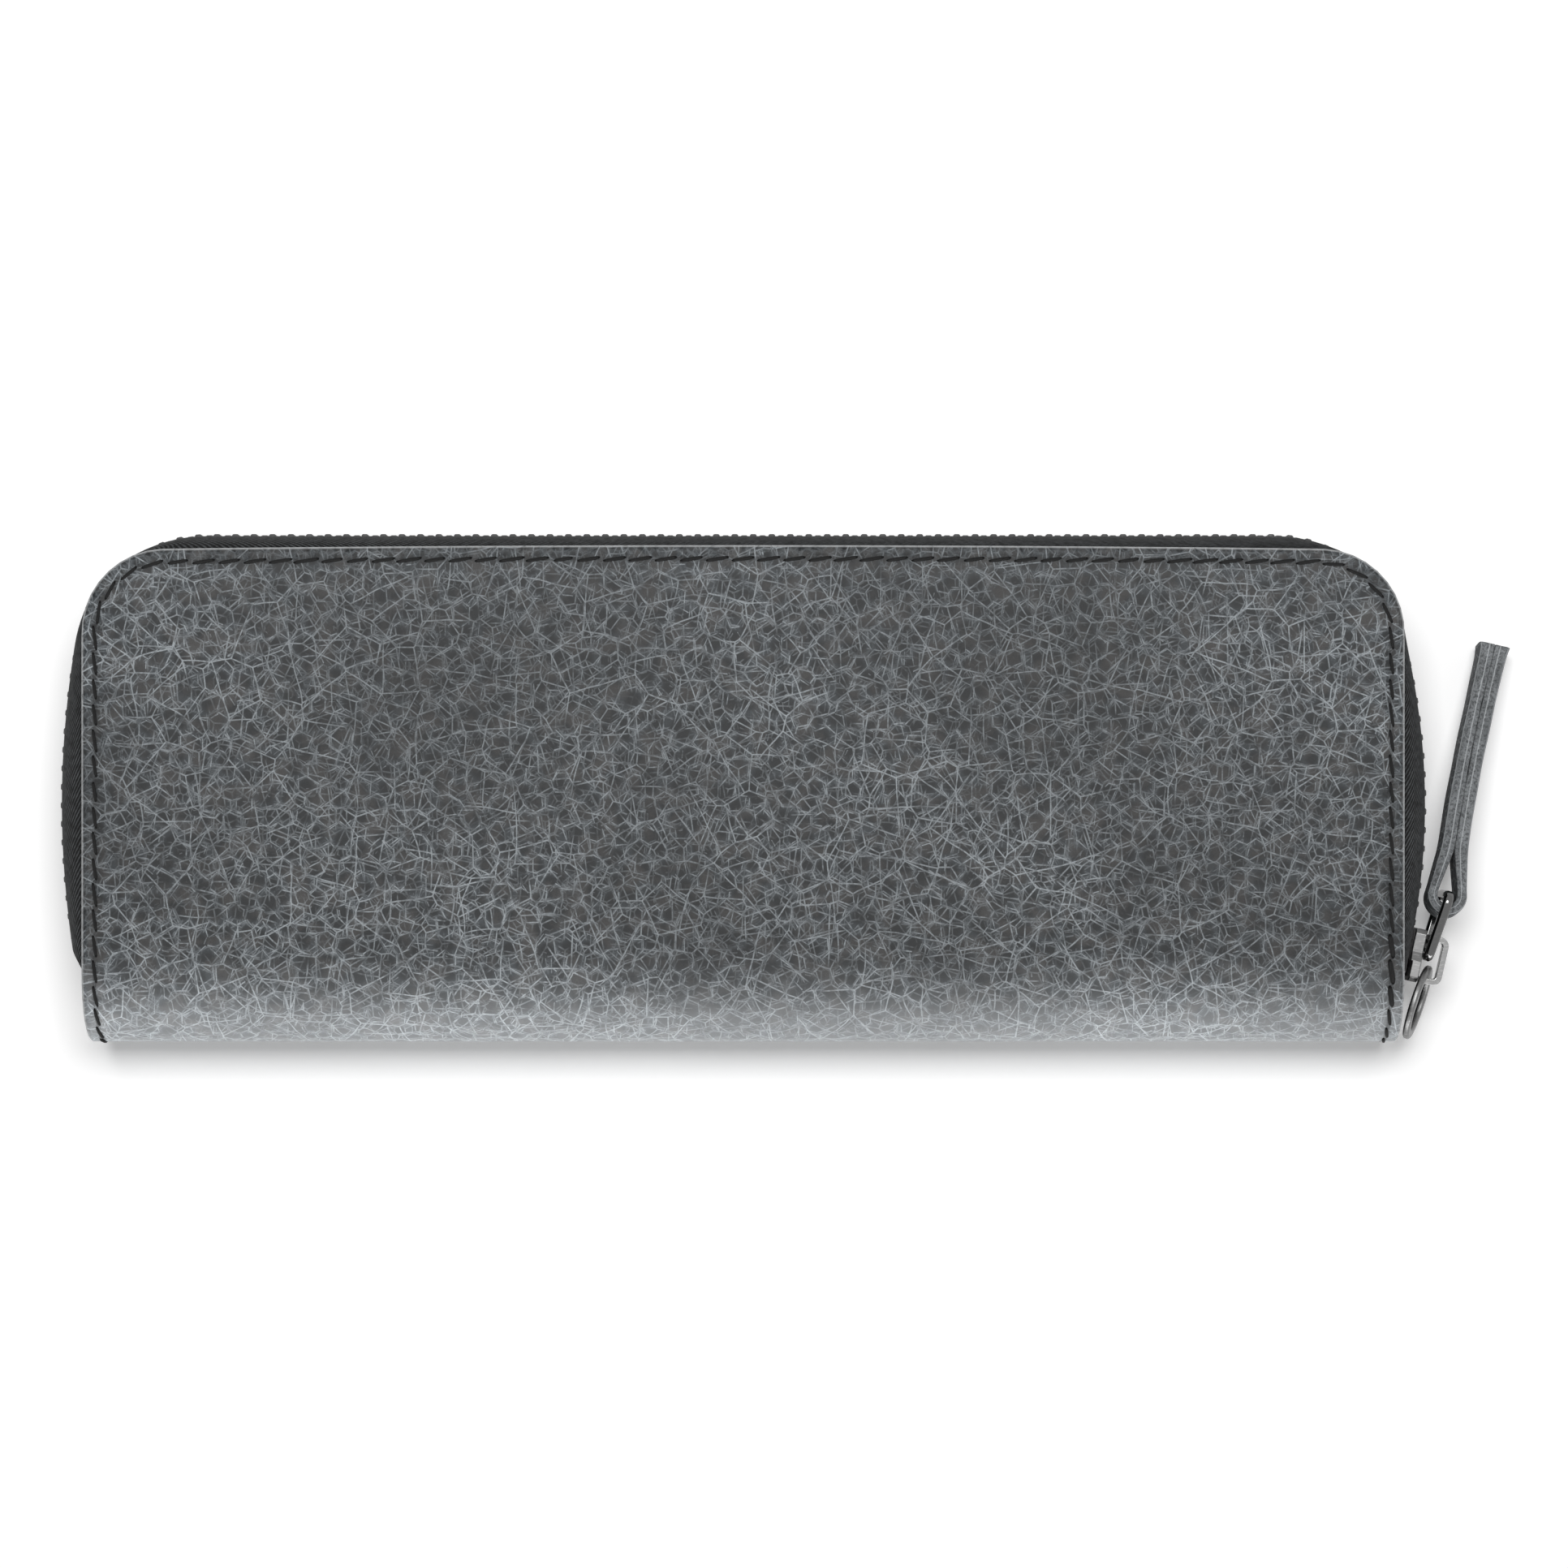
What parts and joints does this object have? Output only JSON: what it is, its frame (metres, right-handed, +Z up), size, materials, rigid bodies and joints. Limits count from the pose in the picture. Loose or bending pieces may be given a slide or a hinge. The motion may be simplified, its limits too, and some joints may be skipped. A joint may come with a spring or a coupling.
{
  "type": "zip-around pen case",
  "caption": "Zip-around leather pen case: two stiff covers on a rounded fold, bulging zip gusset, metal chain and slider with folded strap pull and ring, elastic pen loops inside.",
  "frame": {"origin": "middle of the back cover's outer face, on the surface the case lies on", "axes": "+X along the case, towards the end where the closed slider stands; +Y from the fold to the zip's long side; +Z up through the case, from the back cover to the front cover"},
  "size_m": [0.2232, 0.078, 0.022],
  "materials": {
    "cover_leather": "crackled wax finish",
    "strap_leather": "raw cut edge",
    "stiff_board": "plain",
    "lining_cloth": "fine weave",
    "zip_tape": "twill",
    "zip_metal": "dark gunmetal",
    "slider_metal": "gunmetal",
    "polished_metal": "polished black nickel",
    "ring_metal": "satin",
    "elastic_band": "ribbed elastic"
  },
  "bodies": {
    "back": {"back_cover": "cover_leather", "back_board": "stiff_board", "back_lining": "lining_cloth", "back_tape": "zip_tape", "back_teeth": "zip_metal", "back_teeth_right": "zip_metal", "bottom_stop": "zip_metal", "back_top_stop": "zip_metal", "pen_loops": "elastic_band"},
    "spine": {"spine_fold": "cover_leather", "spine_lining": "lining_cloth"},
    "front": {"front_cover": "cover_leather", "front_board": "stiff_board", "front_lining": "lining_cloth", "front_tape": "zip_tape", "front_teeth": "zip_metal", "front_teeth_right": "zip_metal", "front_top_stop": "zip_metal"},
    "slider": {"slider_body": "slider_metal", "slider_crown": "slider_metal"},
    "pull": {"pull_link": "polished_metal"},
    "strap": {"pull_strap": "strap_leather"},
    "ring": {"pull_ring": "ring_metal"}
  },
  "joints": [
    {"name": "spine_bend", "type": "hinge", "parent": "back", "child": "spine", "pos_m": [0, -0.03455, 0.00295], "axis": [1, 0, 0], "range_deg": [0, 90]},
    {"name": "front_bend", "type": "hinge", "parent": "spine", "child": "front", "pos_m": [0, -0.03455, 0.01905], "axis": [1, 0, 0], "range_deg": [0, 90]},
    {"name": "slider_run", "type": "hinge", "parent": "back", "child": "slider", "pos_m": [0.0038, -0.001, 0.011], "axis": [0, 0, 1], "range_deg": [0, 24], "deforming": ["back_teeth_right", "front_teeth_right"]},
    {"name": "link_swing", "type": "hinge", "parent": "slider", "child": "pull", "pos_m": [0.10475, -0.02429, 0.011], "axis": [0, 0, 1], "range_deg": [-90, 0]},
    {"name": "strap_swing", "type": "hinge", "parent": "pull", "child": "strap", "pos_m": [0.10778, -0.01497, 0.011], "axis": [0, 0, 1], "range_deg": [-60, 2]},
    {"name": "ring_swing", "type": "hinge", "parent": "slider", "child": "ring", "pos_m": [0.10511, -0.02653, 0.011], "axis": [0, 0, 1], "range_deg": [0, 60]}
  ],
  "couplings": [
    {"joint": "front_bend", "follows": "spine_bend", "ratio": 1}
  ]
}
